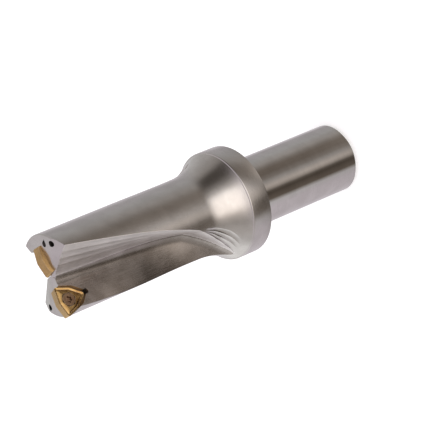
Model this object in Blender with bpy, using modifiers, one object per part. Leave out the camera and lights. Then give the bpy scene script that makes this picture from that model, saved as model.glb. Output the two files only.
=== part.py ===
"""Indexable drill: a one-piece steel body with two helical flutes, and two trigon inserts held by screws.

The drill stands on the rear end of its shank, with the axis along +Z and the origin at that end's centre.
At the tip the outer insert's rake face lies in the plane y = 0 and faces +Y; the inner insert's faces -Y.
"""

import math

import bmesh
import bpy
from mathutils import Matrix, Vector

# Overall, in metres
CUTTING_DIA = 0.030
BODY_UNDERSIZE = 0.0003
BODY_LENGTH = 0.0591
TIP_CHAMFER = 0.0004

# Shank and its coolant inlet
SHANK_DIA = 0.025
SHANK_LENGTH = 0.050
SHANK_CHAMFER = 0.0015
INLET_DIA = 0.008
INLET_DEPTH = 0.014
INLET_CHAMFER = 0.0008
INLET_POINT_ANGLE = math.radians(118)

# Flange and the hollow cone above it
FLANGE_DIA = 0.0396
RIM_WIDTH = 0.0084
RIM_EDGE_BREAK = 0.0004
CONE_LENGTH = 0.0146

# Flutes: the section is set at the tip and turns about the axis towards the shank
HELIX_ANGLE = math.radians(12.9)
RAKE_WALL_ANGLE = math.radians(18.8)
HEEL_WALL_ANGLE = math.radians(117.6)
WEB_THICKNESS = 0.0034
FLUTE_CORNER_RADIUS = 0.0036
RUN_OUT_LENGTH = 0.0381
RUN_OUT_SWEEP = math.radians(62.4)
RUN_OUT_ANGLE = math.radians(70)
HEEL_SLOPE_START = 0.0012
HEEL_SLOPE_BEARING = math.radians(45)
HEEL_SLOPE = math.radians(20)

# Coolant channels
CHANNEL_DIA = 0.0022
CHANNEL_WALL = 0.0010
CHANNEL_ANGLE = math.radians(129)
BRANCH_DIA = 0.0020
BRANCH_INSET = 0.00346
BRANCH_OUTLET_ANGLE = math.radians(147.7)
BRANCH_DEPTH = 0.009
BRANCH_POINT = 0.0018
BRANCH_POINT_ANGLE = math.radians(135)

# Trigon inserts
INSCRIBED_RADIUS = 0.0042
INSERT_THICKNESS = 0.0033
NOSE_RADIUS = 0.0008
BLUNT_RADIUS = 0.0010
CLEARANCE_ANGLE = math.radians(7)
EDGE_LAND = 0.0002
GROOVE_WIDTH = 0.0005
GROOVE_DEPTH = 0.00025
PLATEAU_RISE = 0.0005
PLATEAU_DEPTH = 0.0001
INSERT_HOLE_DIA = 0.0034
COUNTERSINK_DIA = 0.0052
COUNTERSINK_HALF_ANGLE = math.radians(30)
OUTER_LEAD = 0.0022
INNER_LEAD = 0.0023
INNER_OVERLAP = 0.0004
INNER_TILT = math.radians(4)

# Insert pockets and screws
FIT_GAP = 0.0003
CHIP_OPENING = 0.007
CORNER_RELIEF_DIA = 0.0020
TAPPED_DIA = 0.0030
TAPPED_DEPTH = 0.0030
SCREW_ENGAGEMENT = 0.0027
SCREW_END_CHAMFER = 0.0003
HEAD_SINK = 0.00005
STAR_RADIUS = 0.00108
STAR_LOBE = 0.00017
STAR_DEPTH = 0.0011
STAR_POINT = 0.0004

# Facets
TURNED_STEPS = 96
CONE_STEPS = 9
STATION_PITCH = 0.0026
RUN_OUT_STEPS = 18
CORNER_STEPS = 8
WALL_STEPS = 3
NOSE_STEPS = 7
ROUND_STEPS = 18
SCREW_STEPS = 32
STAR_STEPS = 48

# Worked out from the sizes above
BODY_RADIUS = CUTTING_DIA / 2 - BODY_UNDERSIZE
CHANNEL_PITCH_RADIUS = BODY_RADIUS - CHANNEL_WALL - CHANNEL_DIA / 2
RIM_TOP = SHANK_LENGTH + RIM_WIDTH
CONE_TOP = RIM_TOP + CONE_LENGTH
END_FACE = CONE_TOP + BODY_LENGTH
LEAD = math.pi * CUTTING_DIA / math.tan(HELIX_ANGLE)
RUN_OUT_RADIUS = RUN_OUT_LENGTH / math.sin(RUN_OUT_SWEEP)
CORNER_ANGLE = math.radians(80)
BLUNT_ANGLE = math.radians(160)
CLEAR = FLANGE_DIA


def direction(angle):
    return Vector((math.cos(angle), math.sin(angle), 0))


def clear_scene():
    for obj in list(bpy.data.objects):
        bpy.data.objects.remove(obj, do_unlink=True)


def new_collection(name):
    collection = bpy.data.collections.new(name)
    bpy.context.scene.collection.children.link(collection)
    return collection


def metal(name, colour, roughness):
    material = bpy.data.materials.new(name)
    material.use_nodes = True
    shader = material.node_tree.nodes["Principled BSDF"]
    shader.inputs["Base Color"].default_value = (*colour, 1)
    shader.inputs["Metallic"].default_value = 1
    shader.inputs["Roughness"].default_value = roughness
    return material


def add_object(name, mesh, collection, matrix=None):
    obj = bpy.data.objects.new(name, mesh)
    obj.matrix_world = matrix or Matrix()
    collection.objects.link(obj)
    return obj


def loft(name, rings, collection, matrix=None, ring_of_rings=False):
    """A closed solid through rings of equal count, capped at both ends or joined end to end."""
    shape = bmesh.new()
    loops = [[shape.verts.new(point) for point in ring] for ring in rings]
    pairs = list(zip(loops, loops[1:]))
    if ring_of_rings:
        pairs.append((loops[-1], loops[0]))
    else:
        shape.faces.new(loops[0])
        shape.faces.new(loops[-1])
    for lower, upper in pairs:
        for i in range(len(lower)):
            j = (i + 1) % len(lower)
            shape.faces.new((lower[i], lower[j], upper[j], upper[i]))
    bmesh.ops.recalc_face_normals(shape, faces=shape.faces)
    mesh = bpy.data.meshes.new(name)
    shape.to_mesh(mesh)
    shape.free()
    return add_object(name, mesh, collection, matrix)


def turned(name, profile, steps, collection, matrix=None):
    """A solid turned about its local Z from (radius, height) points that run down the outer side."""
    mesh = bpy.data.meshes.new(name)
    points = [(radius, 0, height) for radius, height in profile]
    mesh.from_pydata(points, [(i, i + 1) for i in range(len(points) - 1)], [])
    obj = add_object(name, mesh, collection, matrix)
    screw = obj.modifiers.new("Turn", "SCREW")
    screw.steps = steps
    screw.render_steps = steps
    screw.use_merge_vertices = True
    screw.merge_threshold = 0.000001
    return obj


def round_ring(centre, radius, steps):
    return [centre + radius * direction(math.tau * i / steps) for i in range(steps)]


def cut(obj, cutter):
    cutter.hide_render = True
    cutter.display_type = "WIRE"
    boolean = obj.modifiers.new(cutter.name, "BOOLEAN")
    boolean.operation = "DIFFERENCE"
    boolean.solver = "EXACT"
    boolean.object = cutter


def cone_arc():
    """Points down the hollow cone: an arc tangent to the fluted body that ends on the flange's rim."""
    rise = FLANGE_DIA / 2 - RIM_EDGE_BREAK - BODY_RADIUS
    radius = (CONE_LENGTH**2 + rise**2) / (2 * rise)
    sweep = math.asin(CONE_LENGTH / radius)
    angles = [sweep * i / CONE_STEPS for i in range(CONE_STEPS + 1)]
    return [(BODY_RADIUS + radius * (1 - math.cos(a)), CONE_TOP - radius * math.sin(a)) for a in angles]


def body_profile():
    flange = FLANGE_DIA / 2
    shank = SHANK_DIA / 2
    inlet = INLET_DIA / 2
    point_height = inlet / math.tan(INLET_POINT_ANGLE / 2)
    profile = [(0, END_FACE), (BODY_RADIUS - TIP_CHAMFER, END_FACE), (BODY_RADIUS, END_FACE - TIP_CHAMFER)]
    profile += cone_arc()
    profile += [(flange, RIM_TOP - RIM_EDGE_BREAK), (flange, SHANK_LENGTH + RIM_EDGE_BREAK)]
    profile += [(flange - RIM_EDGE_BREAK, SHANK_LENGTH), (shank, SHANK_LENGTH)]
    profile += [(shank, SHANK_CHAMFER), (shank - SHANK_CHAMFER, 0)]
    profile += [(inlet + INLET_CHAMFER, 0), (inlet, INLET_CHAMFER)]
    profile += [(inlet, INLET_DEPTH), (0, INLET_DEPTH + point_height)]
    return profile


def flute_section():
    """The flute's outline at the tip: the heel wall, the round corner by the web and the rake wall."""
    rake = direction(RAKE_WALL_ANGLE)
    heel = direction(HEEL_WALL_ANGLE)
    half = (HEEL_WALL_ANGLE - RAKE_WALL_ANGLE) / 2
    fold = rake * (WEB_THICKNESS / 2 / math.sin(2 * half))
    centre = fold + direction(RAKE_WALL_ANGLE + half) * (FLUTE_CORNER_RADIUS / math.sin(half))
    start = HEEL_WALL_ANGLE + math.pi / 2
    sweep = math.pi - 2 * half
    angles = [start + sweep * i / CORNER_STEPS for i in range(CORNER_STEPS + 1)]
    corner = [centre + FLUTE_CORNER_RADIUS * direction(angle) for angle in angles]
    heel_end = fold + heel * CLEAR
    rake_end = fold + rake * CLEAR
    walls = [i / WALL_STEPS for i in range(WALL_STEPS)]
    outline = [heel_end.lerp(corner[0], t) for t in walls]
    outline += corner
    outline += [rake_end.lerp(corner[-1], t) for t in reversed(walls)]
    return outline


def flute_stations():
    """(height, outward shift) pairs: straight along the body, then an arc that leads out above the rim."""
    start = RIM_TOP + RUN_OUT_LENGTH
    top = END_FACE + max(OUTER_LEAD, INNER_LEAD)
    count = math.ceil((top - start) / STATION_PITCH)
    stations = [(top + (start - top) * i / count, 0) for i in range(count)]
    for i in range(RUN_OUT_STEPS + 1):
        angle = RUN_OUT_SWEEP * i / RUN_OUT_STEPS
        stations.append((start - RUN_OUT_RADIUS * math.sin(angle), RUN_OUT_RADIUS * (1 - math.cos(angle))))
    return stations


def turn_at(height):
    return math.tau * (height - END_FACE) / LEAD


def flute_cutter(name, side, collection):
    section = flute_section()
    outward = direction(RUN_OUT_ANGLE)
    rings = []
    for height, shift in flute_stations():
        place = Matrix.Translation((0, 0, height)) @ Matrix.Rotation(side + turn_at(height), 4, "Z")
        rings.append([place @ (point + outward * shift) for point in section])
    return loft(name, rings, collection)


def heel_slope_cutter(name, side, collection):
    """A block over one lobe, whose underside falls away across the end face towards the heel."""
    turn = side + HEEL_SLOPE_BEARING - math.pi / 2
    place = Matrix.Rotation(turn, 4, "Z") @ Matrix.Translation((0, HEEL_SLOPE_START, END_FACE))
    place @= Matrix.Rotation(-HEEL_SLOPE, 4, "X")
    shape = bmesh.new()
    bmesh.ops.create_cube(shape, size=CUTTING_DIA)
    bmesh.ops.translate(shape, vec=(-CUTTING_DIA / 2, CUTTING_DIA / 2, CUTTING_DIA / 2), verts=shape.verts)
    mesh = bpy.data.meshes.new(name)
    shape.to_mesh(mesh)
    shape.free()
    return add_object(name, mesh, collection, place)


def channel_point(height, side):
    """The channel's centre: it turns with the flutes along the body, then runs in to the shank's inlet."""
    low = INLET_DEPTH - CHANNEL_DIA
    inner = INLET_DIA / 2 - CHANNEL_DIA / 2 - FIT_GAP
    share = min(1, (height - low) / (CONE_TOP - low))
    radius = inner + (CHANNEL_PITCH_RADIUS - inner) * share
    angle = CHANNEL_ANGLE + side + turn_at(max(height, CONE_TOP))
    return radius * direction(angle) + Vector((0, 0, height))


def channel_cutter(name, side, collection):
    low = INLET_DEPTH - CHANNEL_DIA
    top = END_FACE + CHANNEL_DIA
    count = math.ceil((top - CONE_TOP) / (2 * STATION_PITCH))
    heights = [top + (CONE_TOP - top) * i / count for i in range(count + 1)] + [low]
    rings = [round_ring(channel_point(height, side), CHANNEL_DIA / 2, ROUND_STEPS) for height in heights]
    return loft(name, rings, collection)


def pointed_ring(centre, radius, reach, angle, steps):
    """A round outline drawn out to one point, like a drop."""
    ring = [centre + radius * direction(angle + math.tau * i / steps) for i in range(steps)]
    ring[0] = centre + reach * direction(angle)
    return ring


def branch_cutter(name, collection):
    """The oblique outlet beside the inner insert, which joins the channel below it."""
    outlet = (BODY_RADIUS - BRANCH_INSET) * direction(BRANCH_OUTLET_ANGLE) + Vector((0, 0, END_FACE))
    junction = channel_point(END_FACE - BRANCH_DEPTH, 0)
    above = outlet + (outlet - junction) * (CHANNEL_DIA / BRANCH_DEPTH)
    radius = BRANCH_DIA / 2
    points = ((above, BRANCH_POINT), (outlet, BRANCH_POINT), (junction, radius))
    rings = [pointed_ring(point, radius, reach, BRANCH_POINT_ANGLE, ROUND_STEPS) for point, reach in points]
    return loft(name, rings, collection)


def trigon_ring(inscribed, nose, height):
    """Three 80 degree corners and three blunt ones round a circle; one sharp corner points along -Y."""
    points = []
    for k in range(3):
        corner = -math.pi / 2 + k * math.tau / 3
        reach = math.pi / 2 - CORNER_ANGLE / 2
        centre = direction(corner) * ((inscribed - nose) / math.sin(CORNER_ANGLE / 2))
        for i in range(NOSE_STEPS + 1):
            points.append(centre + nose * direction(corner - reach + 2 * reach * i / NOSE_STEPS))
        blunt = corner + math.pi / 3
        reach = math.pi / 2 - BLUNT_ANGLE / 2
        centre = direction(blunt) * ((inscribed - BLUNT_RADIUS) / math.sin(BLUNT_ANGLE / 2))
        for i in range(3):
            points.append(centre + BLUNT_RADIUS * direction(blunt - reach + reach * i))
    return [point + Vector((0, 0, height)) for point in points]


def circle_like(ring, radius, height):
    return [point.xy.normalized().to_3d() * radius + Vector((0, 0, height)) for point in ring]


def insert_half_width():
    """From the insert's middle to its outermost point across the drill."""
    centre = (INSCRIBED_RADIUS - NOSE_RADIUS) / math.sin(CORNER_ANGLE / 2)
    return centre * math.cos(math.pi / 6) + NOSE_RADIUS


def insert_solid(name, collection, matrix):
    taper = INSERT_THICKNESS * math.tan(CLEARANCE_ANGLE)
    land = INSCRIBED_RADIUS - EDGE_LAND
    groove = land - GROOVE_WIDTH
    plateau = groove - PLATEAU_RISE
    hole = INSERT_HOLE_DIA / 2
    sink = (COUNTERSINK_DIA / 2 - hole) / math.tan(COUNTERSINK_HALF_ANGLE)
    top = trigon_ring(INSCRIBED_RADIUS, NOSE_RADIUS, 0)
    rings = [
        trigon_ring(INSCRIBED_RADIUS - taper, NOSE_RADIUS - taper, -INSERT_THICKNESS),
        top,
        trigon_ring(land, NOSE_RADIUS - EDGE_LAND, 0),
        trigon_ring(groove, NOSE_RADIUS / 2, -GROOVE_DEPTH),
        trigon_ring(plateau, NOSE_RADIUS / 2, -PLATEAU_DEPTH),
        circle_like(top, COUNTERSINK_DIA / 2, -PLATEAU_DEPTH),
        circle_like(top, hole, -PLATEAU_DEPTH - sink),
        circle_like(top, hole, -INSERT_THICKNESS),
    ]
    return loft(name, rings, collection, matrix, ring_of_rings=True)


def pocket_cutter(name, collection, matrix):
    taper = INSERT_THICKNESS * math.tan(CLEARANCE_ANGLE)
    floor = -INSERT_THICKNESS - FIT_GAP
    wall = INSCRIBED_RADIUS + FIT_GAP
    nose = NOSE_RADIUS + FIT_GAP
    rings = [
        trigon_ring(wall - taper, nose - taper, floor),
        trigon_ring(wall, nose, 0),
        trigon_ring(wall, nose, CHIP_OPENING),
    ]
    return loft(name, rings, collection, matrix)


def relief_cutter(name, collection, matrix):
    """A drilled relief where the pocket takes the insert's rear corner."""
    reach = (INSCRIBED_RADIUS - NOSE_RADIUS) / math.sin(CORNER_ANGLE / 2) + NOSE_RADIUS
    centre = Vector((0, -reach, 0))
    heights = (-INSERT_THICKNESS - FIT_GAP, CHIP_OPENING)
    rings = [round_ring(centre + Vector((0, 0, h)), CORNER_RELIEF_DIA / 2, ROUND_STEPS) for h in heights]
    return loft(name, rings, collection, matrix)


def tapped_hole_cutter(name, collection, matrix):
    floor = -INSERT_THICKNESS - FIT_GAP
    heights = (floor - TAPPED_DEPTH, floor + FIT_GAP)
    rings = [round_ring(Vector((0, 0, h)), TAPPED_DIA / 2, 2 * ROUND_STEPS) for h in heights]
    return loft(name, rings, collection, matrix)


def screw_solid(name, parts, cutters, matrix):
    shank = TAPPED_DIA / 2 - FIT_GAP
    slope = math.tan(COUNTERSINK_HALF_ANGLE)
    rim = COUNTERSINK_DIA / 2 - FIT_GAP / math.cos(COUNTERSINK_HALF_ANGLE)
    top = -PLATEAU_DEPTH - HEAD_SINK
    neck = -PLATEAU_DEPTH - (rim - shank) / slope
    end = -INSERT_THICKNESS - FIT_GAP - SCREW_ENGAGEMENT
    profile = [(0, top), (rim - HEAD_SINK * slope, top), (shank, neck)]
    profile += [(shank, end + SCREW_END_CHAMFER), (shank - SCREW_END_CHAMFER, end), (0, end)]
    screw = turned(name, profile, SCREW_STEPS, parts, matrix)
    rings = []
    levels = ((top + STAR_DEPTH, 1), (top - STAR_DEPTH, 1), (top - STAR_DEPTH - STAR_POINT, 0.2))
    for height, share in levels:
        ring = []
        for i in range(STAR_STEPS):
            angle = math.tau * i / STAR_STEPS
            radius = STAR_RADIUS + STAR_LOBE * math.cos(6 * angle)
            ring.append(share * radius * direction(angle) + Vector((0, 0, height)))
        rings.append(ring)
    cut(screw, loft(name + "_star", rings, cutters, matrix))
    return screw


def seat(side, centre, lead, tilt):
    """The frame of an insert: local Z is the rake face's normal and local Y points to the tip."""
    forward = INSCRIBED_RADIUS / math.sin(BLUNT_ANGLE / 2)
    place = Matrix.Rotation(side, 4, "Z") @ Matrix.Translation((-centre, 0, END_FACE + lead - forward))
    return place @ Matrix.Rotation(math.pi / 2, 4, "X") @ Matrix.Rotation(tilt, 4, "Z")


def shade(obj, material, angle):
    obj.data.materials.append(material)
    obj.data.shade_smooth()
    obj.data.set_sharp_from_angle(angle=angle)


def build_body(parts, cutters, seats):
    body = turned("drill_body", body_profile(), TURNED_STEPS, parts)
    for number, side in enumerate((0, math.pi), start=1):
        cut(body, heel_slope_cutter(f"heel_slope_{number}", side, cutters))
        cut(body, flute_cutter(f"flute_{number}", side, cutters))
        cut(body, channel_cutter(f"channel_{number}", side, cutters))
    cut(body, branch_cutter("branch", cutters))
    for name, matrix in seats.items():
        cut(body, pocket_cutter(f"{name}_pocket", cutters, matrix))
        cut(body, relief_cutter(f"{name}_relief", cutters, matrix))
        cut(body, tapped_hole_cutter(f"{name}_tapped_hole", cutters, matrix))
    return body


def main():
    clear_scene()
    parts = new_collection("indexable_drill")
    cutters = new_collection("cutters")
    steel = metal("satin_nickel", (0.55, 0.52, 0.50), 0.28)
    gold = metal("gold_coating", (0.80, 0.55, 0.20), 0.32)
    dark_steel = metal("dark_screw_steel", (0.16, 0.12, 0.10), 0.40)
    outer_centre = CUTTING_DIA / 2 - insert_half_width()
    inner_centre = insert_half_width() - INNER_OVERLAP
    seats = {
        "outer": seat(math.pi, outer_centre, OUTER_LEAD, 0),
        "inner": seat(0, inner_centre, INNER_LEAD, INNER_TILT),
    }
    shade(build_body(parts, cutters, seats), steel, math.radians(21))
    for name, matrix in seats.items():
        shade(insert_solid(f"{name}_insert", parts, matrix), gold, math.radians(25))
        shade(screw_solid(f"{name}_screw", parts, cutters, matrix), dark_steel, math.radians(30))


main()
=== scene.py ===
"""An indexable drill, standing on the end of its shank on a plain pale floor, seen from its tip."""

import math

import bmesh
import bpy
from mathutils import Matrix, Vector

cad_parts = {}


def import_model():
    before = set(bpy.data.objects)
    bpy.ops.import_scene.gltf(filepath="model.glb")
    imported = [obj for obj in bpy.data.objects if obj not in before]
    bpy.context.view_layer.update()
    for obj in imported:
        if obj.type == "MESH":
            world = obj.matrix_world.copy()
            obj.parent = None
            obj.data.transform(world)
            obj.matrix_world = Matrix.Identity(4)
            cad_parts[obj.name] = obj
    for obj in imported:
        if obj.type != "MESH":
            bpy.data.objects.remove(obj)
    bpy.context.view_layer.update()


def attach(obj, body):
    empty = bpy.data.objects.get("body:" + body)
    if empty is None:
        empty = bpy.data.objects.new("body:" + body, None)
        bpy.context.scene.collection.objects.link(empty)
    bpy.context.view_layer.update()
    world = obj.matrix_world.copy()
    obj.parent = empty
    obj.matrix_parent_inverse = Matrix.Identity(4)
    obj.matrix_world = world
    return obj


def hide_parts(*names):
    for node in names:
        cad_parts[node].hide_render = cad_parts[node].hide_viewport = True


# The body, in metres, as the solids have it
CUTTING_DIA = 0.030
BODY_CLEARANCE = 0.0003
BODY_RADIUS = CUTTING_DIA / 2 - BODY_CLEARANCE
TIP_CHAMFER = 0.0004
SHANK_RADIUS = 0.0125
SHANK_LENGTH = 0.050
SHANK_CHAMFER = 0.0015
INLET_RADIUS = 0.004
INLET_DEPTH = 0.014
INLET_CHAMFER = 0.0008
INLET_POINT_ANGLE = math.radians(118)
FLANGE_RADIUS = 0.0198
RIM_TOP = 0.0584
RIM_EDGE_BREAK = 0.0004
CONE_LENGTH = 0.0146
CONE_TOP = RIM_TOP + CONE_LENGTH
BODY_LENGTH = 0.0591
END_FACE = CONE_TOP + BODY_LENGTH
SIDES = (0, math.pi)

# Flutes, and how their floor and heel wall leave the body above the cone
HELIX_ANGLE = math.radians(12.9)
LEAD = math.pi * CUTTING_DIA / math.tan(HELIX_ANGLE)
RAKE_WALL_ANGLE = math.radians(18.8)
HEEL_WALL_ANGLE = math.radians(117.6)
WEB_THICKNESS = 0.0034
FLUTE_CORNER_RADIUS = 0.0036
RUN_OUT_START = 0.0960
RUN_OUT_RADIUS = 0.066
WALL_DRIFT_START = 0.103
WALL_DRIFT_RADIUS = 0.160
TURN_OUT_START = 0.0785
TURN_OUT_SLOPE = 0.33
TURN_OUT_CURVATURE = 12

# The stripes on the heel wall, and the rounding of the land's edges
SCALLOP_PITCH = 0.0030
SCALLOP_DEPTH = 0.00010
LAND_EDGE = 0.00015
LAND_EDGE_SHARE = 0.2

# The shallow passes beside each flute's end: (height, turn of their outer edge from the section's zero)
PASS_EDGE = (
    (0.0785, 103.8),
    (0.0760, 104.4),
    (0.0717, 105.2),
    (0.0688, 102.8),
    (0.0658, 99.5),
    (0.0635, 94.1),
    (0.0615, 87.7),
    (0.0591, 79.2),
)
PASSES = 3

# Their depth at the heel edge and the scoop of each, and how they fade where they are narrow and at their end
PASS_DEPTH = 0.00040
PASS_SCOOP = 0.00026
PASS_LEAST = 0.0014
PASS_RISE = 0.0036
PASS_END = 0.0613
PASS_FADE = 0.0030

# The slope behind each cutting edge on the end face
HEEL_SLOPE_START = 0.0012
HEEL_SLOPE_BEARING = math.radians(45)
HEEL_SLOPE = math.radians(20)

# Coolant channels
CHANNEL_RADIUS = 0.0011
CHANNEL_PITCH_RADIUS = 0.0126
CHANNEL_ANGLE = math.radians(129)
BRANCH_RADIUS = 0.0010
BRANCH_OUTLET = (-0.0095, 0.0060)
BRANCH_DEPTH = 0.009
BRANCH_POINT = 0.0018
BRANCH_POINT_ANGLE = math.radians(135)

# Trigon inserts and their pockets
INSCRIBED_RADIUS = 0.0042
INSERT_THICKNESS = 0.0033
NOSE_RADIUS = 0.0008
BLUNT_RADIUS = 0.0010
CORNER_ANGLE = math.radians(80)
BLUNT_ANGLE = math.radians(160)
CLEARANCE_ANGLE = math.radians(7)
EDGE_LAND = 0.0002
GROOVE_WIDTH = 0.0005
GROOVE_DEPTH = 0.00025
PLATEAU_RISE = 0.0005
PLATEAU_DEPTH = 0.0001
INSERT_HOLE_RADIUS = 0.0017
COUNTERSINK_RADIUS = 0.0026
COUNTERSINK_HALF_ANGLE = math.radians(30)
OUTER_LEAD = 0.0022
INNER_LEAD = 0.0023
INNER_OVERLAP = 0.0004
INNER_TILT = math.radians(4)
SEAT_GAP = 0.00008
FLOOR_GAP = 0.0003
CHIP_OPENING = 0.007
CORNER_RELIEF_RADIUS = 0.0010
TAPPED_RADIUS = 0.0015
TAPPED_DEPTH = 0.0030

# The share of a face's normal along the rake direction above which the face counts as the rake's
RAKE_FACING = 0.5

# Screws
SCREW_GAP = 0.0003
SCREW_ENGAGEMENT = 0.0027
SCREW_END_CHAMFER = 0.0003
HEAD_SINK = 0.00005
STAR_RADIUS = 0.00108
STAR_LOBES = 6
STAR_LOBE = 0.00017
STAR_DEPTH = 0.0011
STAR_POINT = 0.0004
STAR_POINT_SHARE = 0.2

# Material slots of the body: its turned and blasted skin, the ground shank, and what was milled and drilled;
# the milled heel walls are lightened with painted sheen, the milled flute floors and pockets are darkened
# with painted shade, and the drilled bores are darkened to near black with painted shade
SKIN, SHANK, HEEL, FLOOR, POCKET, BORE = range(6)

# Facets, and the angles past which a crease stays sharp
LAND_STEPS = 90
PASS_STEPS = 60
HEEL_STEPS = 48
CORNER_STEPS = 14
RAKE_STEPS = 16
EDGE_STEPS = 6
RING_PITCH = 0.0007
RUN_OUT_PITCH = 0.0003
CHANNEL_STEPS = 24
NOSE_STEPS = 20
BLUNT_STEPS = 4
ROUND_STEPS = 48
SCREW_STEPS = 96
STAR_STEPS = 144
SEARCH_STEPS = 60
WELD_DISTANCE = 0.000001
SLIVER_LENGTH = 0.0000005
BODY_CREASE = math.radians(21)
INSERT_CREASE = math.radians(30)

# Metals: dark, light and worn tones; the worn tone, laid along the edges, is edge wear and also a painted
# highlight there
SATIN_TONES = ((0.60, 0.57, 0.55), (0.66, 0.63, 0.61), (0.78, 0.76, 0.74))
# Heel walls: the milled nickel lightened towards white as painted sheen
HEEL_PAINTED_SHEEN_TONES = ((0.74, 0.70, 0.69), (0.88, 0.84, 0.83), (0.94, 0.92, 0.91))
# Flute floors and insert pockets: the milled nickel darkened as painted shade
FLOOR_PAINTED_SHADE_TONES = ((0.30, 0.265, 0.24), (0.41, 0.37, 0.345), (0.66, 0.64, 0.62))
# Drilled bores: steel darkened to near black as painted shade inside the holes
BORE_PAINTED_SHADE_TONES = ((0.05, 0.045, 0.04), (0.10, 0.09, 0.085), (0.30, 0.28, 0.26))
FLANK_TONES = ((0.42, 0.27, 0.12), (0.60, 0.40, 0.18), (0.80, 0.68, 0.50))
# The rake's near-white worn tone is mostly a painted highlight along its edges
RAKE_TONES = ((0.34, 0.19, 0.07), (0.64, 0.43, 0.18), (0.96, 0.86, 0.74))
DARK_TONES = ((0.22, 0.13, 0.08), (0.40, 0.27, 0.17), (0.54, 0.43, 0.31))

# Finishes: tones, roughness from smooth to rough, the marks' share beside the blotches, and their height
SKIN_FINISH = (SATIN_TONES, (0.20, 0.26), 0.18, 0.0000003)
SHANK_FINISH = (SATIN_TONES, (0.045, 0.08), 0.25, 0.0000002)
# The heel wall's finish lightens it as painted sheen
HEEL_FINISH_AND_SHEEN = (HEEL_PAINTED_SHEEN_TONES, (0.42, 0.56), 0.4, 0.000003)
# The floor's and the pocket's finishes darken them as painted shade
FLOOR_FINISH_AND_SHADE = (FLOOR_PAINTED_SHADE_TONES, (0.22, 0.32), 0.28, 0.000002)
POCKET_FINISH_AND_SHADE = (FLOOR_PAINTED_SHADE_TONES, (0.35, 0.5), 0.4, 0.000002)
# The bore's finish darkens the holes as painted shade
BORE_FINISH_AND_SHADE = (BORE_PAINTED_SHADE_TONES, (0.45, 0.6), 0.4, 0.000002)
FLANK_FINISH = (FLANK_TONES, (0.26, 0.38), 0.4, 0.000002)
RAKE_FINISH = (RAKE_TONES, (0.14, 0.30), 0.3, 0.000003)
SCREW_FINISH = (DARK_TONES, (0.34, 0.5), 0.4, 0.000002)

# How many marks there are to a metre, the detail of each noise, and the noise values that the finishes span
BLOTCH_DENSITY = 160
BLOTCH_DETAIL = 3
RING_DENSITY = 4200
RING_DETAIL = 3
FEED_DENSITY = 2400
FEED_STRETCH = 30
FEED_DETAIL = 4
SPECKLE_DENSITY = 5200
SPECKLE_DETAIL = 3
GRAIN_DETAIL = 2
GRAIN_RELIEF = 0.5
TONE_SPAN = (0.36, 0.64)
WEAR_SPAN = (0.34, 0.66)
# The edge mask's width: the worn tone laid there is edge wear and also a painted highlight
EDGE_WEAR_AND_GLINT_WIDTH = 0.00012
EDGE_MATCH = (0.86, 0.99)
EDGE_SAMPLES = 4

# The sockets that hold the two colours of a Mix node and its result
MIX_FIRST, MIX_SECOND, MIX_RESULT = 6, 7, 2

# The camera: where it stands, which way it leans, and the drill's place in the 430 pixel frame
VIEW_TILT = math.radians(54)
VIEW_TURN = math.radians(22.92)
VIEW_SPIN = math.radians(11)
VIEW_DISTANCE = 0.8
PIXELS_PER_METRE = 2723
FRAME_PIXELS = 430
VIEW_OFFSET = (0.043854, 0.02136)
SENSOR_WIDTH = 36
CLIP_START = 0.01
CLIP_END = 20

# The studio that the metal reflects: rows of (bearing from +X in degrees, strength, warmth), for panels well
# below the level of the drill, about level with it, and right underneath
LOW_PANELS = (
    (0, 0.65, -0.3),
    (18, 0.58, -0.1),
    (25, 0.34, 0.4),
    (31, 0.13, 1.4),
    (51, 0.075, 1.6),
    (58, 0.12, 1.2),
    (67, 0.40, 0.8),
    (74, 0.52, 0.7),
    (80, 0.48, 0.6),
    (90, 0.36, 0.4),
    (100, 0.23, 0.8),
    (115, 0.16, 1.2),
    (130, 0.17, 1.2),
    (140, 0.23, 0.8),
    (155, 0.38, 0.4),
    (180, 0.46, 0.0),
    (215, 0.45, -0.2),
    (235, 0.70, -0.2),
    (255, 0.78, -0.2),
    (275, 0.68, -0.3),
    (310, 0.64, -0.3),
    (360, 0.65, -0.3),
)
LEVEL_PANELS = (
    (0, 0.55, 0.3),
    (30, 0.38, 0.5),
    (45, 0.60, 0.6),
    (53, 1.15, 0.6),
    (62, 1.55, 0.5),
    (90, 1.60, 0.4),
    (99, 1.35, 0.3),
    (107, 0.65, 0.3),
    (120, 0.25, 0.5),
    (135, 0.07, 1.0),
    (155, 0.07, 1.0),
    (168, 0.30, 0.5),
    (190, 0.45, 0.2),
    (230, 0.62, 0.0),
    (265, 0.66, 0.0),
    (290, 0.95, 0.0),
    (325, 0.95, 0.0),
    (345, 0.60, 0.1),
    (360, 0.55, 0.3),
)
UNDER_PANELS = (
    (0, 0.22, 0.6),
    (45, 0.12, 0.9),
    (68, 0.08, 1.0),
    (80, 0.18, 0.8),
    (100, 0.45, 0.7),
    (118, 0.62, 0.7),
    (135, 0.55, 0.7),
    (170, 0.25, 0.6),
    (360, 0.22, 0.6),
)

# The ceiling's strength and warmth
CEILING = (0.62, -0.35)

# Where one row gives way to the next, as the height of a direction one metre long
LEVEL_EDGE = (-0.54, -0.32)
UNDERSIDE_EDGE = (-0.74, -0.62)
CEILING_EDGE = (0.3, 0.8)
STUDIO_RADIUS = 6.0
STUDIO_SUBDIVISIONS = 4

# What a warmth of 1 does to red, green and blue, and what one below 0 does to green
CREAM = (0.12, -0.02, -0.14)
LILAC = 0.2
WHITE = (1, 1, 1, 1)

# Floor and lamp
FLOOR_HALF_SIZE = 3.0
FLOOR_COLOUR = (0.86, 0.86, 0.87)
FLOOR_GLOW = 0.55
LAMP_SIZE = 0.8
LAMP_POWER = 3.0
LAMP_HEIGHT = 1.2


def direction(angle):
    return Vector((math.cos(angle), math.sin(angle), 0))


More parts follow.
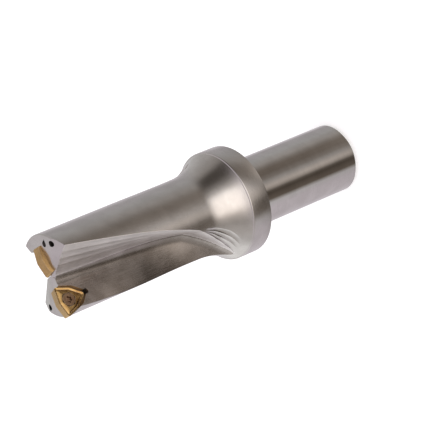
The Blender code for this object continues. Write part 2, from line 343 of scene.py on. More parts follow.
def place_camera():
    """A camera that sees the drill's axes in the photograph's directions."""
    tilt, turn, spin = VIEW_TILT, VIEW_TURN, VIEW_SPIN
    right = Vector((math.cos(tilt) * math.cos(turn), math.cos(tilt) * math.sin(turn), math.sin(tilt)))
    up = Vector((-math.sin(turn), math.cos(turn), 0))
    drill_x = math.sin(spin) * right - math.cos(spin) * up
    drill_y = math.cos(spin) * right + math.sin(spin) * up
    drill_z = Vector((-math.sin(tilt) * math.cos(turn), -math.sin(tilt) * math.sin(turn), math.cos(tilt)))
    facing = Matrix((drill_x, drill_y, drill_z))
    origin = Vector((*VIEW_OFFSET, -VIEW_DISTANCE))
    data = bpy.data.cameras.new("camera")
    data.sensor_width = SENSOR_WIDTH
    data.lens = SENSOR_WIDTH * PIXELS_PER_METRE * VIEW_DISTANCE / FRAME_PIXELS
    data.clip_start = CLIP_START
    data.clip_end = CLIP_END
    camera = bpy.data.objects.new("camera", data)
    camera.matrix_world = Matrix.Translation(-(facing @ origin)) @ facing.to_4x4()
    bpy.context.scene.collection.objects.link(camera)
    bpy.context.scene.camera = camera


# Mesh helpers


def add_object(name, mesh):
    obj = bpy.data.objects.new(name, mesh)
    bpy.context.scene.collection.objects.link(obj)
    return obj


def object_from(shape, name):
    """Turns a bmesh into an object and frees it."""
    mesh = bpy.data.meshes.new(name)
    shape.to_mesh(mesh)
    shape.free()
    return add_object(name, mesh)


def loft(name, rings, matrix=None, ring_of_rings=False, slot=0):
    """A closed solid through rings of equal count, capped at both ends or joined end to end."""
    shape = bmesh.new()
    loops = [[shape.verts.new(point) for point in ring] for ring in rings]
    pairs = list(zip(loops, loops[1:]))
    if ring_of_rings:
        pairs.append((loops[-1], loops[0]))
    else:
        shape.faces.new(loops[0])
        shape.faces.new(loops[-1])
    for lower, upper in pairs:
        for i in range(len(lower)):
            j = (i + 1) % len(lower)
            shape.faces.new((lower[i], lower[j], upper[j], upper[i]))
    for face in shape.faces:
        face.material_index = slot
    bmesh.ops.recalc_face_normals(shape, faces=shape.faces)
    bmesh.ops.transform(shape, matrix=matrix or Matrix(), verts=shape.verts)
    return object_from(shape, name)


def round_ring(centre, radius, steps):
    return [centre + radius * direction(math.tau * i / steps) for i in range(steps)]


def cut(obj, cutters, materials):
    """Takes the cutters out of obj, applies the result and removes them; cut faces keep the cutter's slot."""
    for part in [obj] + cutters:
        for material in materials:
            part.data.materials.append(material)
    for cutter in cutters:
        modifier = obj.modifiers.new(cutter.name, "BOOLEAN")
        modifier.material_mode = "INDEX"
        modifier.operation = "DIFFERENCE"
        modifier.solver = "MANIFOLD"
        modifier.object = cutter
    graph = bpy.context.evaluated_depsgraph_get()
    mesh = bpy.data.meshes.new_from_object(obj.evaluated_get(graph))
    obj.modifiers.clear()
    obj.data = mesh
    for cutter in cutters:
        bpy.data.objects.remove(cutter, do_unlink=True)


def smooth(obj, angle):
    obj.data.shade_smooth()
    obj.data.set_sharp_from_angle(angle=angle)


# The body of the drill


def turn_at(height):
    return math.tau * (height - END_FACE) / LEAD


def radius_at(height):
    """The body's radius before the flutes are cut, from the rim's top to the tip."""
    if height >= CONE_TOP:
        return BODY_RADIUS - max(0, height - END_FACE + TIP_CHAMFER)
    rise = FLANGE_RADIUS - RIM_EDGE_BREAK - BODY_RADIUS
    arc = (CONE_LENGTH**2 + rise**2) / (2 * rise)
    angle = math.asin((CONE_TOP - height) / arc)
    return BODY_RADIUS + arc * (1 - math.cos(angle))


def arc_rise(start, radius, height):
    """How far an arc that starts at this height has moved sideways lower down."""
    drop = min(max(0, start - height), radius)
    return radius - math.sqrt(radius**2 - drop**2)


def run_out_shift(height):
    """Where the flute's section has moved to: its floor climbs outwards and its heel wall turns away."""
    floor = arc_rise(RUN_OUT_START, RUN_OUT_RADIUS, height)
    drop = max(0, TURN_OUT_START - height)
    wall = arc_rise(WALL_DRIFT_START, WALL_DRIFT_RADIUS, height)
    wall += TURN_OUT_SLOPE * drop + TURN_OUT_CURVATURE * drop**2 / 2
    return direction(HEEL_WALL_ANGLE) * floor + direction(RAKE_WALL_ANGLE) * wall


def between(table, value):
    """The second number of a table of pairs, read off at this first number, or None outside it."""
    for (high, first), (low, second) in zip(table, table[1:]):
        if low <= value <= high:
            return first + (second - first) * (high - value) / (high - low)
    return None


def scoop(place):
    """The hollow of one pass of a round cutter: 0 at both sides and 1 in the middle."""
    return 4 * place * (1 - place)


def pass_width(height, heel_angle):
    """How wide the band of shallow passes beside a flute's end is, as a turn round the axis."""
    outer = between(PASS_EDGE, height)
    least = PASS_LEAST / BODY_RADIUS
    return least if outer is None else max(least, math.radians(outer) - heel_angle)


def pass_depth(height, width, share):
    """How deep the passes have cut at this share of their width from the heel edge."""
    opening = (width * BODY_RADIUS - PASS_LEAST) / PASS_RISE
    strength = min(1, opening, max(0, height - PASS_END) / PASS_FADE)
    return strength * (PASS_DEPTH * (1 - share) + PASS_SCOOP * scoop(share * PASSES % 1))


class Flute:
    """The flute's outline, measured along its length from where the heel wall meets the round corner."""

    def __init__(self):
        self.rake = direction(RAKE_WALL_ANGLE)
        self.heel = direction(HEEL_WALL_ANGLE)
        half = (HEEL_WALL_ANGLE - RAKE_WALL_ANGLE) / 2
        fold = self.rake * (WEB_THICKNESS / 2 / math.sin(2 * half))
        self.centre = fold + direction(RAKE_WALL_ANGLE + half) * (FLUTE_CORNER_RADIUS / math.sin(half))
        self.start = HEEL_WALL_ANGLE + math.pi / 2
        self.length = FLUTE_CORNER_RADIUS * (math.pi - 2 * half)
        self.inward = direction(HEEL_WALL_ANGLE - math.pi / 2)

    def point(self, along, shift):
        """A point of the outline: on the scalloped heel wall below 0, then the corner, then the rake wall."""
        base = self.centre + shift
        inside = min(max(along, 0), self.length)
        point = base + FLUTE_CORNER_RADIUS * direction(self.start + inside / FLUTE_CORNER_RADIUS)
        if along < 0:
            depth = SCALLOP_DEPTH * scoop(-along / SCALLOP_PITCH % 1)
            return point - self.heel * along - self.inward * depth
        return point + self.rake * (max(along, self.length) - self.length)

    def nearest(self, shift):
        """Where along the outline it comes closest to the axis."""
        low, high = -CUTTING_DIA, CUTTING_DIA
        for _ in range(SEARCH_STEPS):
            third = (high - low) / 3
            if self.point(low + third, shift).length < self.point(high - third, shift).length:
                high -= third
            else:
                low += third
        return (low + high) / 2

    def crossing(self, inside, outside, shift, radius):
        """Where along the outline it leaves the body's round, between a point inside and one outside."""
        for _ in range(SEARCH_STEPS):
            middle = (inside + outside) / 2
            if self.point(middle, shift).length < radius:
                inside = middle
            else:
                outside = middle
        return inside

    def span(self, height):
        """The stretch of the outline that lies inside the body at this height, or None past the run-out."""
        radius = radius_at(height)
        shift = run_out_shift(height)
        nearest = self.nearest(shift)
        if self.point(nearest, shift).length >= radius:
            return None
        first = self.crossing(nearest, -2 * CUTTING_DIA, shift, radius)
        last = self.crossing(nearest, 2 * CUTTING_DIA, shift, radius)
        return first, last


def samples(start, end, steps):
    return [start + (end - start) * i / steps for i in range(steps)]


def rounded(before, corner, after):
    """Points round a corner, from before to just short of after."""
    points = []
    for i in range(EDGE_STEPS):
        t = i / EDGE_STEPS
        points.append(before * (1 - t) ** 2 + corner * (2 * t * (1 - t)) + after * t**2)
    return points


def half_section(flute, height, span):
    """One flute and the land behind it, from the flute's heel edge round to the other flute's."""
    radius = radius_at(height)
    shift = run_out_shift(height)
    first, last = span
    edge = min(LAND_EDGE, (last - first) * LAND_EDGE_SHARE)
    low, high = first + edge, last - edge
    heel_corner = flute.point(first, shift)
    rake_corner = flute.point(last, shift)
    heel_land = radius * direction(math.atan2(heel_corner.y, heel_corner.x) + edge / radius)
    rake_angle = math.atan2(rake_corner.y, rake_corner.x) - edge / radius
    rake_land = radius * direction(rake_angle)
    points = rounded(heel_land, heel_corner, flute.point(low, shift))
    breaks = [low, min(max(0, low), high), min(max(flute.length, low), high), high]
    for a, b, steps in zip(breaks, breaks[1:], (HEEL_STEPS, CORNER_STEPS, RAKE_STEPS)):
        points += [flute.point(along, shift) for along in samples(a, b, steps)]
    points += rounded(flute.point(high, shift), rake_corner, rake_land)
    heel_angle = math.atan2(heel_land.y, heel_land.x)
    sweep = (rake_angle - heel_angle + math.pi) % math.tau
    width = pass_width(height, heel_angle)
    points += [radius * direction(rake_angle - angle) for angle in samples(0, sweep - width, LAND_STEPS)]
    for share in samples(1, 0, PASS_STEPS):
        depth = pass_depth(height, width, share)
        points.append((radius - depth) * direction(rake_angle - sweep + width * share))
    return points


def section(flute, height, span):
    half = half_section(flute, height, span)
    turn = turn_at(height)
    ring = []
    for side in SIDES:
        place = Matrix.Translation((0, 0, height)) @ Matrix.Rotation(turn + side, 4, "Z")
        ring += [place @ point for point in half]
    return ring


def fluted_rings(flute):
    """Rings from the tip down to where the flutes run out, and the height of that end."""
    start = RUN_OUT_START
    heights = [END_FACE, END_FACE - TIP_CHAMFER]
    heights += samples(END_FACE - TIP_CHAMFER, start, math.ceil((END_FACE - start) / RING_PITCH))[1:]
    inside, outside = start, RIM_TOP
    for _ in range(SEARCH_STEPS):
        middle = (inside + outside) / 2
        if flute.span(middle):
            inside = middle
        else:
            outside = middle
    steps = math.ceil((start - inside) / RUN_OUT_PITCH)
    heights += samples(start, inside, steps) + [inside]
    return [section(flute, height, flute.span(height)) for height in heights], inside


def turned_profile(top):
    """(radius, height) points down the outside from the end of the flutes, and back up into the inlet."""
    count = math.ceil((top - RIM_TOP) / RING_PITCH)
    profile = [(radius_at(height), height) for height in samples(top, RIM_TOP, count)[1:]]
    edge = RIM_EDGE_BREAK
    for i in range(EDGE_STEPS + 1):
        angle = math.pi / 2 * i / EDGE_STEPS
        across, along = edge * math.sin(angle), edge * math.cos(angle)
        profile.append((FLANGE_RADIUS - edge + across, RIM_TOP - edge + along))
    for i in range(EDGE_STEPS + 1):
        angle = math.pi / 2 * i / EDGE_STEPS
        across, along = edge * math.cos(angle), edge * math.sin(angle)
        profile.append((FLANGE_RADIUS - edge + across, SHANK_LENGTH + edge - along))
    profile += [(SHANK_RADIUS, SHANK_LENGTH), (SHANK_RADIUS, SHANK_CHAMFER)]
    profile += [(SHANK_RADIUS - SHANK_CHAMFER, 0)]
    profile += [(INLET_RADIUS + INLET_CHAMFER, 0), (INLET_RADIUS, INLET_CHAMFER)]
    profile += [(INLET_RADIUS, INLET_DEPTH)]
    return profile


def section_slots():
    """The material slot of each side of a section; the heel wall's material, lightened with painted sheen,
    reaches into the round corner.
    """
    high = CORNER_STEPS // 3
    half = [HEEL] * (EDGE_STEPS + HEEL_STEPS + high)
    half += [FLOOR] * (CORNER_STEPS - high + RAKE_STEPS + EDGE_STEPS)
    return (half + [SKIN] * (LAND_STEPS + PASS_STEPS)) * 2


def turned_slot(radius, height):
    if radius <= INLET_RADIUS + INLET_CHAMFER and height <= INLET_DEPTH:
        return BORE
    return SHANK if radius <= SHANK_RADIUS else SKIN


def body_solid():
    """The turned and fluted body, before the tip's slopes, holes and pockets are cut."""
    flute = Flute()
    rings, end = fluted_rings(flute)
    slots = [section_slots()] * (len(rings) - 1)
    angles = [math.atan2(point.y, point.x) for point in rings[-1]]
    for radius, height in turned_profile(end):
        rings.append([radius * direction(angle) + Vector((0, 0, height)) for angle in angles])
        slots.append([turned_slot(radius, height)] * len(angles))
    shape = bmesh.new()
    loops = [[shape.verts.new(point) for point in ring] for ring in rings]
    shape.faces.new(loops[0])
    for upper, lower, row in zip(loops, loops[1:], slots):
        for i, slot in enumerate(row):
            j = (i + 1) % len(row)
            face = shape.faces.new((lower[i], lower[j], upper[j], upper[i]))
            face.material_index = slot
    point_height = INLET_RADIUS / math.tan(INLET_POINT_ANGLE / 2)
    tip = shape.verts.new((0, 0, INLET_DEPTH + point_height))
    for i in range(len(loops[-1])):
        face = shape.faces.new((loops[-1][i], tip, loops[-1][(i + 1) % len(loops[-1])]))
        face.material_index = BORE
    bmesh.ops.remove_doubles(shape, verts=shape.verts, dist=WELD_DISTANCE)
    bmesh.ops.dissolve_degenerate(shape, edges=shape.edges, dist=SLIVER_LENGTH)
    bmesh.ops.recalc_face_normals(shape, faces=shape.faces)
    return object_from(shape, "body")


def heel_slope_cutter(name, side):
    """A block that lies on the slope behind one cutting edge."""
    turn = side + HEEL_SLOPE_BEARING - math.pi / 2
    place = Matrix.Rotation(turn, 4, "Z") @ Matrix.Translation((0, HEEL_SLOPE_START, END_FACE))
    place @= Matrix.Rotation(-HEEL_SLOPE, 4, "X")
    shape = bmesh.new()
    bmesh.ops.create_cube(shape, size=CUTTING_DIA)
    bmesh.ops.translate(shape, vec=(-CUTTING_DIA / 2, CUTTING_DIA / 2, CUTTING_DIA / 2), verts=shape.verts)
    bmesh.ops.transform(shape, matrix=place, verts=shape.verts)
    return object_from(shape, name)


def channel_point(height, side):
    """The centre of a coolant channel: straight up from the inlet to the cone's top, then with the flutes."""
    low = INLET_DEPTH - 2 * CHANNEL_RADIUS
    inner = INLET_RADIUS - CHANNEL_RADIUS - FLOOR_GAP
    share = min(1, (height - low) / (CONE_TOP - low))
    radius = inner + (CHANNEL_PITCH_RADIUS - inner) * share
    angle = CHANNEL_ANGLE + side + turn_at(max(height, CONE_TOP))
    return radius * direction(angle) + Vector((0, 0, height))


def channel_cutter(name, side):
    top = END_FACE + 2 * CHANNEL_RADIUS
    heights = samples(top, CONE_TOP, CHANNEL_STEPS) + [CONE_TOP, INLET_DEPTH - 2 * CHANNEL_RADIUS]
    rings = [round_ring(channel_point(height, side), CHANNEL_RADIUS, ROUND_STEPS) for height in heights]
    return loft(name, rings, slot=BORE)


def pointed_ring(centre, radius, reach, angle, steps):
    """A round outline drawn out to one point, like a drop."""
    ring = []
    tangent = math.acos(min(1, radius / reach))
    apex = centre + reach * direction(angle)
    for i in range(steps):
        bearing = math.remainder(math.tau * i / steps, math.tau)
        point = centre + radius * direction(angle + bearing)
        if abs(bearing) < tangent:
            touch = centre + radius * direction(angle + math.copysign(tangent, bearing))
            point = apex.lerp(touch, abs(bearing) / tangent)
        ring.append(point)
    return ring


def branch_cutter(name):
    """A short hole that leaves one channel below the end face and comes out beside it as a drop."""
    outlet = Vector((*BRANCH_OUTLET, END_FACE))
    junction = channel_point(END_FACE - BRANCH_DEPTH, 0)
    above = outlet + (outlet - junction) * (2 * CHANNEL_RADIUS / BRANCH_DEPTH)
    rings = []
    for point, reach in ((above, BRANCH_POINT), (outlet, BRANCH_POINT), (junction, BRANCH_RADIUS)):
        rings.append(pointed_ring(point, BRANCH_RADIUS, reach, BRANCH_POINT_ANGLE, ROUND_STEPS))
    return loft(name, rings, slot=BORE)


# Inserts


def trigon_ring(inscribed, nose, height):
    """Three 80 degree and three blunt corners round the inscribed circle; a sharp one points along -Y."""
    points = []
    for k in range(3):
        corner = -math.pi / 2 + k * math.tau / 3
        reach = math.pi / 2 - CORNER_ANGLE / 2
        centre = direction(corner) * ((inscribed - nose) / math.sin(CORNER_ANGLE / 2))
        for i in range(NOSE_STEPS + 1):
            points.append(centre + nose * direction(corner - reach + 2 * reach * i / NOSE_STEPS))
        blunt = corner + math.pi / 3
        reach = math.pi / 2 - BLUNT_ANGLE / 2
        centre = direction(blunt) * ((inscribed - BLUNT_RADIUS) / math.sin(BLUNT_ANGLE / 2))
        for i in range(BLUNT_STEPS + 1):
            points.append(centre + BLUNT_RADIUS * direction(blunt - reach + 2 * reach * i / BLUNT_STEPS))
    return [point + Vector((0, 0, height)) for point in points]


def circle_like(ring, radius, height):
    """A circle whose points lie on the same bearings as the ring's."""
    return [point.xy.normalized().to_3d() * radius + Vector((0, 0, height)) for point in ring]


def insert_half_width():
    """How far an insert's corners reach to either side of its centre."""
    centre = (INSCRIBED_RADIUS - NOSE_RADIUS) / math.sin(CORNER_ANGLE / 2)
    return centre * math.cos(math.pi / 6) + NOSE_RADIUS


def insert_solid(name, matrix):
    """A trigon insert with a land, a chip groove, a plateau and a countersunk hole."""
    taper = INSERT_THICKNESS * math.tan(CLEARANCE_ANGLE)
    land = INSCRIBED_RADIUS - EDGE_LAND
    groove = land - GROOVE_WIDTH
    plateau = groove - PLATEAU_RISE
    hole = INSERT_HOLE_RADIUS
    sink = (COUNTERSINK_RADIUS - hole) / math.tan(COUNTERSINK_HALF_ANGLE)
    top = trigon_ring(INSCRIBED_RADIUS, NOSE_RADIUS, 0)
    rings = [
        trigon_ring(INSCRIBED_RADIUS - taper, NOSE_RADIUS - taper, -INSERT_THICKNESS),
        top,
        trigon_ring(land, NOSE_RADIUS - EDGE_LAND, 0),
        trigon_ring(groove, NOSE_RADIUS / 2, -GROOVE_DEPTH),
        trigon_ring(plateau, NOSE_RADIUS / 2, -PLATEAU_DEPTH),
        circle_like(top, COUNTERSINK_RADIUS, -PLATEAU_DEPTH),
        circle_like(top, hole, -PLATEAU_DEPTH - sink),
        circle_like(top, hole, -INSERT_THICKNESS),
    ]
    insert = loft(name, rings, matrix, ring_of_rings=True)
    facing = matrix.to_3x3().col[2]
    for face in insert.data.polygons:
        face.material_index = int(face.normal.dot(facing) > RAKE_FACING)
    return insert


def pocket_cutter(name, matrix):
    """The insert's outline with a small gap, open in front of its rake face."""
    taper = INSERT_THICKNESS * math.tan(CLEARANCE_ANGLE)
    floor = -INSERT_THICKNESS - SEAT_GAP
    wall = INSCRIBED_RADIUS + SEAT_GAP
    nose = NOSE_RADIUS + SEAT_GAP
    rings = [
        trigon_ring(wall - taper, nose - taper, floor),
        trigon_ring(wall, nose, 0),
        trigon_ring(wall, nose, CHIP_OPENING),
    ]
    return loft(name, rings, matrix, slot=POCKET)


def relief_cutter(name, matrix):
    """A round relief at the pocket's innermost corner."""
    reach = (INSCRIBED_RADIUS - NOSE_RADIUS) / math.sin(CORNER_ANGLE / 2) + NOSE_RADIUS
    centre = Vector((0, -reach, 0))
    heights = (-INSERT_THICKNESS - SEAT_GAP, CHIP_OPENING)
    rings = [round_ring(centre + Vector((0, 0, h)), CORNER_RELIEF_RADIUS, ROUND_STEPS) for h in heights]
    return loft(name, rings, matrix, slot=POCKET)


def tapped_hole_cutter(name, matrix):
    floor = -INSERT_THICKNESS - SEAT_GAP
    heights = (-INSERT_THICKNESS - FLOOR_GAP - TAPPED_DEPTH, floor + FLOOR_GAP)
    rings = [round_ring(Vector((0, 0, h)), TAPPED_RADIUS, ROUND_STEPS) for h in heights]
    return loft(name, rings, matrix, slot=BORE)


def screw_solid(name, matrix, material):
    """A countersunk screw with a star recess."""
    shank = TAPPED_RADIUS - SCREW_GAP
    slope = math.tan(COUNTERSINK_HALF_ANGLE)
    rim = COUNTERSINK_RADIUS - SCREW_GAP / math.cos(COUNTERSINK_HALF_ANGLE)
    top = -PLATEAU_DEPTH - HEAD_SINK
    neck = -PLATEAU_DEPTH - (rim - shank) / slope
    end = -INSERT_THICKNESS - SCREW_GAP - SCREW_ENGAGEMENT
    profile = [(rim - HEAD_SINK * slope, top), (shank, neck)]
    profile += [(shank, end + SCREW_END_CHAMFER), (shank - SCREW_END_CHAMFER, end)]
    rings = [round_ring(Vector((0, 0, height)), radius, SCREW_STEPS) for radius, height in profile]
    screw = loft(name, rings, matrix)
    floor = top - STAR_DEPTH
    rings = []
    for height, share in ((top + STAR_DEPTH, 1), (floor, 1), (floor - STAR_POINT, STAR_POINT_SHARE)):
        ring = []
        for i in range(STAR_STEPS):
            angle = math.tau * i / STAR_STEPS
            radius = STAR_RADIUS + STAR_LOBE * math.cos(STAR_LOBES * angle)
            ring.append(share * radius * direction(angle) + Vector((0, 0, height)))
        rings.append(ring)
    cut(screw, [loft(name + "_star", rings, matrix)], (material,))
    return screw


def seat(side, centre, lead, tilt):
    """The frame of an insert: local Z is the rake face's normal and local Y points to the tip."""
    forward = INSCRIBED_RADIUS / math.sin(BLUNT_ANGLE / 2)
    place = Matrix.Rotation(side, 4, "Z") @ Matrix.Translation((-centre, 0, END_FACE + lead - forward))
    return place @ Matrix.Rotation(math.pi / 2, 4, "X") @ Matrix.Rotation(tilt, 4, "Z")


def fine_body(seats, materials):
    """The body with its slopes, coolant holes, pockets and tapped holes."""
    body = body_solid()
    cutters = []
    for number, side in enumerate(SIDES, start=1):
        cutters.append(heel_slope_cutter(f"heel_slope_{number}", side))
        cutters.append(channel_cutter(f"channel_{number}", side))
    cutters.append(branch_cutter("branch"))
    for name, matrix in seats.items():
        cutters.append(pocket_cutter(f"{name}_pocket", matrix))
        cutters.append(relief_cutter(f"{name}_relief", matrix))
        cutters.append(tapped_hole_cutter(f"{name}_tapped_hole", matrix))
    cut(body, cutters, materials)
    return body


def dress(piece, node, crease):
    """Shades a finished piece and puts it in the place of its solid."""
    smooth(piece, crease)
    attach(piece, "root")
    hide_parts(node)


# Materials


class Nodes:
    """Short calls for a node tree."""

    def __init__(self, tree):
        self.tree = tree

    def add(self, kind, **settings):
        node = self.tree.nodes.new(kind)
        for name, value in settings.items():
            setattr(node, name, value)
        return node

    def link(self, source, target):
        self.tree.links.new(source, target)

    def math(self, operation, *values):
        node = self.add("ShaderNodeMath", operation=operation)
        for socket, value in zip(node.inputs, values):
            self.feed(socket, value)
        return node.outputs[0]

    def feed(self, socket, value):
        if isinstance(value, bpy.types.NodeSocket):
            self.link(value, socket)
        else:
            socket.default_value = value

    def span(self, value, low, high, to_low=0.0, to_high=1.0):
        """Value mapped smoothly from low..high to to_low..to_high, and held at both ends."""
        node = self.add("ShaderNodeMapRange", interpolation_type="SMOOTHSTEP")
        for socket, number in zip(node.inputs, (value, low, high, to_low, to_high)):
            self.feed(socket, number)
        return node.outputs[0]

    def blend(self, first, second, share):
        return self.math("ADD", self.math("MULTIPLY", first, 1 - share), self.math("MULTIPLY", second, share))

    def mix(self, factor, first, second):
        node = self.add("ShaderNodeMix", data_type="RGBA")
        self.feed(node.inputs[0], factor)
        self.feed(node.inputs[MIX_FIRST], first)
        self.feed(node.inputs[MIX_SECOND], second)
        return node.outputs[MIX_RESULT]

    def axes(self, vector):
        node = self.add("ShaderNodeSeparateXYZ")
        self.link(vector, node.inputs[0])
        return node.outputs

    def polar(self, vector):
        """Radius, angle and height of a place, round the Z axis."""
        x, y, z = self.axes(vector)
        squares = [self.math("MULTIPLY", side, side) for side in (x, y)]
        return self.math("SQRT", self.math("ADD", *squares)), self.math("ARCTAN2", y, x), z

    def vector(self, *values):
        node = self.add("ShaderNodeCombineXYZ")
        for socket, value in zip(node.inputs, values):
            self.feed(socket, value)
        return node.outputs[0]

    def noise(self, vector, scale, detail):
        node = self.add("ShaderNodeTexNoise")
        self.link(vector, node.inputs["Vector"])
        node.inputs["Scale"].default_value = scale
        node.inputs["Detail"].default_value = detail
        return node.outputs[0]

    def edges(self):
        """1 along the edges, where a rounded normal leaves the surface's own, and 0 on the faces."""
        rounded = self.add("ShaderNodeBevel", samples=EDGE_SAMPLES)
        rounded.inputs["Radius"].default_value = EDGE_WEAR_AND_GLINT_WIDTH
        own = self.add("ShaderNodeNewGeometry").outputs["Normal"]
        match = self.add("ShaderNodeVectorMath", operation="DOT_PRODUCT")
        self.link(rounded.outputs[0], match.inputs[0])
        self.link(own, match.inputs[1])
        return self.span(match.outputs["Value"], *EDGE_MATCH, 1.0, 0.0)

    def ramp(self, value, stops):
        node = self.add("ShaderNodeValToRGB")
        self.feed(node.inputs[0], value)
        elements = node.color_ramp.elements
        while len(elements) < len(stops):
            elements.new(0.5)
        for element, (place, colour) in zip(elements, stops):
            element.position = place
            element.color = (*colour, 1)
        return node.outputs[0]


def ring_marks(nodes, place):
    """Fine turning marks that run round the drill's axis."""
    radius, angle, z = nodes.polar(place)
    across = nodes.math("MULTIPLY", radius, RING_DENSITY)
    along = nodes.math("MULTIPLY", z, RING_DENSITY)
    return nodes.noise(nodes.vector(nodes.math("COSINE", angle), across, along), 1, RING_DETAIL)


def feed_marks(nodes, place):
    """Fine milling marks that follow the flutes round the drill."""
    radius, angle, z = nodes.polar(place)
    turn = nodes.math("MULTIPLY", nodes.math("SUBTRACT", z, END_FACE), math.tau / LEAD)
    angle = nodes.math("SUBTRACT", angle, turn)
    radius = nodes.math("MULTIPLY", radius, FEED_DENSITY)
    across = nodes.math("MULTIPLY", radius, nodes.math("COSINE", angle))
    around = nodes.math("MULTIPLY", radius, nodes.math("SINE", angle))
    along = nodes.math("MULTIPLY", z, FEED_DENSITY / FEED_STRETCH)
    return nodes.noise(nodes.vector(across, around, along), 1, FEED_DETAIL)


def speckles(nodes, place):
    """The fine grain of a coated or blasted face."""
    return nodes.noise(place, SPECKLE_DENSITY, SPECKLE_DETAIL)


def metal(name, finish, marks):
    """A metal of dark, light and worn tones, with its marks in colour, roughness and bump; the worn tone
    along its edges is wear and also a painted highlight.
    """
    tones, roughness, mark_share, mark_height = finish
    material = bpy.data.materials.new(name)
    material.use_nodes = True
    nodes = Nodes(material.node_tree)
    shader = material.node_tree.nodes["Principled BSDF"]
    shader.inputs["Metallic"].default_value = 1
    place = nodes.add("ShaderNodeTexCoord").outputs["Object"]
    dark, light, worn_and_glint = ((*rgb, 1) for rgb in tones)
    blotches = nodes.noise(place, BLOTCH_DENSITY, BLOTCH_DETAIL)
    pattern = marks(nodes, place)
    grain = nodes.noise(place, SPECKLE_DENSITY, GRAIN_DETAIL)
    shade = nodes.blend(blotches, pattern, mark_share)
    colour = nodes.mix(nodes.span(shade, *TONE_SPAN), dark, light)
    # Along the edges the worn tone: edge wear and also a painted highlight
    nodes.link(nodes.mix(nodes.edges(), colour, worn_and_glint), shader.inputs["Base Color"])
    wear = nodes.blend(grain, pattern, mark_share)
    nodes.link(nodes.span(wear, *WEAR_SPAN, *roughness), shader.inputs["Roughness"])
    relief = nodes.math("ADD", pattern, nodes.math("MULTIPLY", grain, GRAIN_RELIEF))
    bump = nodes.add("ShaderNodeBump")
    bump.inputs["Distance"].default_value = mark_height
    nodes.link(relief, bump.inputs["Height"])
    nodes.link(bump.outputs[0], shader.inputs["Normal"])
    return material


# The pieces


def body_materials():
    """The body's materials, in the order of its slots."""
    return (
        metal("satin_nickel", SKIN_FINISH, ring_marks),
        metal("ground_nickel", SHANK_FINISH, ring_marks),
        # The heel wall's milled nickel is lightened as painted sheen
        metal("milled_nickel_heel_painted_sheen", HEEL_FINISH_AND_SHEEN, feed_marks),
        # The flute floor's and the pocket's milled nickel is darkened as painted shade
        metal("milled_nickel_floor_painted_shade", FLOOR_FINISH_AND_SHADE, feed_marks),
        metal("milled_nickel_pocket_painted_shade", POCKET_FINISH_AND_SHADE, speckles),
        # The drilled steel is darkened to near black as painted shade inside the holes
        metal("drilled_steel_painted_shade", BORE_FINISH_AND_SHADE, ring_marks),
    )


def build_pieces():
    outer_centre = CUTTING_DIA / 2 - insert_half_width()
    inner_centre = insert_half_width() - INNER_OVERLAP
    seats = {
        "outer": seat(math.pi, outer_centre, OUTER_LEAD, 0),
        "inner": seat(0, inner_centre, INNER_LEAD, INNER_TILT),
    }
    body = fine_body(seats, body_materials())
    dress(body, "drill_body", BODY_CREASE)
    flank = metal("gold_coating_flank", FLANK_FINISH, speckles)
    rake = metal("gold_coating_rake", RAKE_FINISH, speckles)
    blackened = metal("blackened_steel", SCREW_FINISH, speckles)
    for name, matrix in seats.items():
        insert = insert_solid(f"{name}_trigon", matrix)
        insert.data.materials.append(flank)
        insert.data.materials.append(rake)
        dress(insert, f"{name}_insert", INSERT_CREASE)
        screw = screw_solid(f"{name}_star_screw", matrix, blackened)
        dress(screw, f"{name}_screw", INSERT_CREASE)


# The studio


def tone(level, warmth):
    """A grey of this strength, leaning to cream above 0 and to lilac below."""
    if warmth < 0:
        return (level, level * (1 + LILAC * warmth), level)
    return tuple(level * (1 + share * warmth) for share in CREAM)


def ring_stops(table):
    """Colour ramp stops from rows of (bearing in degrees, strength, warmth)."""
    return [(bearing / 360, tone(level, warmth)) for bearing, level, warmth in table]


def blank_nodes(owner):
    """An empty node tree for a material or the world."""
    owner.use_nodes = True
    owner.node_tree.nodes.clear()
    return Nodes(owner.node_tree)


def build_world():
    """White for camera, glossy and transmission rays, and the ceiling's grey for the rest."""
    world = bpy.data.worlds.new("studio")
    nodes = blank_nodes(world)
    path = nodes.add("ShaderNodeLightPath").outputs
    seen = nodes.math("MAXIMUM", path["Is Camera Ray"], path["Is Glossy Ray"])
    seen = nodes.math("MAXIMUM", seen, path["Is Transmission Ray"])
    background = nodes.add("ShaderNodeBackground")
    nodes.link(nodes.mix(seen, (*tone(*CEILING), 1), WHITE), background.inputs["Color"])
    output = nodes.add("ShaderNodeOutputWorld")
    nodes.link(background.outputs[0], output.inputs["Surface"])
    bpy.context.scene.world = world


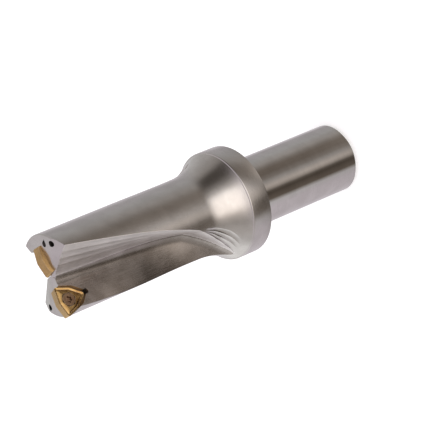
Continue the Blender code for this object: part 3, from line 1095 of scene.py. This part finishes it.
def build_panels():
    """A shell of soft panels that the camera looks through; the metal reflects it, not the white world."""
    shape = bmesh.new()
    bmesh.ops.create_icosphere(shape, subdivisions=STUDIO_SUBDIVISIONS, radius=STUDIO_RADIUS)
    panels = object_from(shape, "studio_panels")
    panels.visible_camera = False
    panels.visible_shadow = False
    material = bpy.data.materials.new("studio_panels")
    nodes = blank_nodes(material)
    toward = nodes.add("ShaderNodeVectorMath", operation="NORMALIZE")
    nodes.link(nodes.add("ShaderNodeTexCoord").outputs["Object"], toward.inputs[0])
    x, y, z = nodes.axes(toward.outputs[0])
    bearing = nodes.math("FRACT", nodes.math("DIVIDE", nodes.math("ARCTAN2", y, x), math.tau))
    low = nodes.ramp(bearing, ring_stops(LOW_PANELS))
    level = nodes.ramp(bearing, ring_stops(LEVEL_PANELS))
    under = nodes.ramp(bearing, ring_stops(UNDER_PANELS))
    ring = nodes.mix(nodes.span(z, *LEVEL_EDGE), low, level)
    ring = nodes.mix(nodes.span(z, *UNDERSIDE_EDGE), under, ring)
    ring = nodes.mix(nodes.span(z, *CEILING_EDGE), ring, (*tone(*CEILING), 1))
    glow = nodes.add("ShaderNodeEmission")
    nodes.link(ring, glow.inputs["Color"])
    output = nodes.add("ShaderNodeOutputMaterial")
    nodes.link(glow.outputs[0], output.inputs["Surface"])
    panels.data.materials.append(material)


def build_floor():
    """A white floor that keeps the drill's soft shadow and that the metal doesn't reflect."""
    shape = bmesh.new()
    bmesh.ops.create_grid(shape, x_segments=1, y_segments=1, size=FLOOR_HALF_SIZE)
    floor = object_from(shape, "floor")
    floor.visible_glossy = False
    material = bpy.data.materials.new("pale_floor")
    nodes = blank_nodes(material)
    paint = nodes.add("ShaderNodeBsdfDiffuse")
    paint.inputs["Color"].default_value = (*FLOOR_COLOUR, 1)
    glow = nodes.add("ShaderNodeEmission")
    seen = nodes.add("ShaderNodeLightPath").outputs["Is Camera Ray"]
    nodes.link(nodes.math("MULTIPLY", seen, FLOOR_GLOW), glow.inputs["Strength"])
    both = nodes.add("ShaderNodeAddShader")
    nodes.link(paint.outputs[0], both.inputs[0])
    nodes.link(glow.outputs[0], both.inputs[1])
    output = nodes.add("ShaderNodeOutputMaterial")
    nodes.link(both.outputs[0], output.inputs["Surface"])
    floor.data.materials.append(material)


def build_lamp():
    """A soft lamp overhead, which draws the shadow."""
    data = bpy.data.lights.new("overhead", "AREA")
    data.shape = "DISK"
    data.size = LAMP_SIZE
    data.energy = LAMP_POWER
    lamp = bpy.data.objects.new("overhead", data)
    lamp.location = (0, 0, LAMP_HEIGHT)
    lamp.visible_glossy = False
    bpy.context.scene.collection.objects.link(lamp)


def main():
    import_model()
    bpy.context.scene.view_settings.view_transform = "Standard"
    place_camera()
    build_pieces()
    build_world()
    build_panels()
    build_floor()
    build_lamp()


main()
